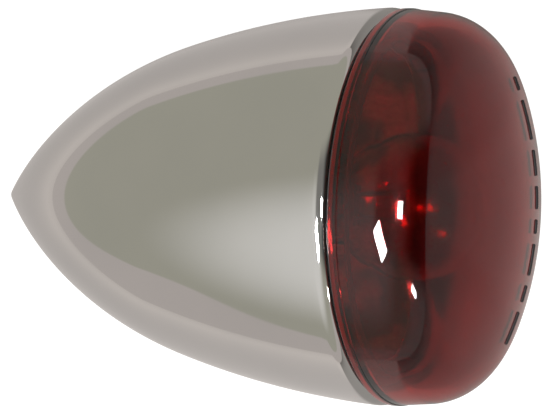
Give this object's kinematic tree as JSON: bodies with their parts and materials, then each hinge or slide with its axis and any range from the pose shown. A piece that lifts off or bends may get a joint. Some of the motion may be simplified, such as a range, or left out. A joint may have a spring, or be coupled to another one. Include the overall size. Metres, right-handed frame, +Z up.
{
  "type": "turn signal indicator",
  "caption": "Bullet-shaped motorcycle turn signal: chromed ogive housing on a swivelling threaded stem, pull-off red lens and a bayonet bulb in a sprung socket.",
  "frame": {"origin": "centre of the stem's seat, where its thread starts", "axes": "+X the way the lens faces, along the lamp's axis; +Z up, out of the stem's seat towards the lamp; +Y across"},
  "size_m": [0.1001, 0.0698, 0.0981],
  "materials": {
    "chrome_housing": "mirror plated",
    "chrome_stem": "mirror plated",
    "red_lens": "clear red, polished",
    "black_rubber": "matte",
    "zinc_steel": "zinc plated",
    "black_steel": "black oxide",
    "spring_steel": "plain",
    "brass": "plain",
    "brass_base": "bright",
    "phenolic": "brown laminate",
    "black_glass": "glossy",
    "solder": "dull",
    "clear_glass": "clear",
    "lead_wire": "plain",
    "tungsten": "plain"
  },
  "bodies": {
    "stem": {"mount_stem": "chrome_stem", "stem_washer": "zinc_steel", "stem_o_ring": "black_rubber", "stem_retaining_ring": "zinc_steel", "wire_grommet": "black_rubber"},
    "lamp": {"housing_shell": "chrome_housing", "stem_set_screw": "black_steel", "socket_strap": "zinc_steel", "strap_screws": "zinc_steel", "strap_washers": "zinc_steel", "socket_shell": "zinc_steel", "ground_blade": "brass", "socket_rivets": "brass", "socket_back_disc": "phenolic", "contact_spring": "spring_steel"},
    "lens_cup": {"lens": "red_lens", "lens_gasket": "black_rubber"},
    "contacts": {"contact_carrier": "phenolic", "contact_pins": "brass"},
    "bulb": {"bulb_base": "brass_base", "bayonet_pins": "brass_base", "bulb_insulator": "black_glass", "bulb_contacts": "solder", "bulb_glass": "clear_glass", "glass_stem": "clear_glass", "support_wires": "lead_wire", "filament_turn": "tungsten", "filament_running": "tungsten"}
  },
  "joints": [
    {"name": "aim_swivel", "type": "hinge", "parent": "stem", "child": "lamp", "pos_m": [0, 0, 0], "axis": [0, 0, 1], "range_deg": [-90, 90]},
    {"name": "lens_pull", "type": "slide", "parent": "lamp", "child": "lens_cup", "axis": [1, 0, 0], "range_m": [0, 0.045]},
    {"name": "bulb_press", "type": "slide", "parent": "lamp", "child": "contacts", "axis": [-1, 0, 0], "range_m": [0, 0.002], "stiffness_N_per_m": 1500, "springref_m": -0.002, "deforming": ["contact_spring"]},
    {"name": "bulb_twist", "type": "hinge", "parent": "contacts", "child": "bulb", "pos_m": [0, 0, 0.042], "axis": [1, 0, 0], "range_deg": [0, 20]}
  ],
  "couplings": [
    {"joint": "bulb_twist", "follows": "bulb_press", "rad_per_m": 174.5}
  ]
}
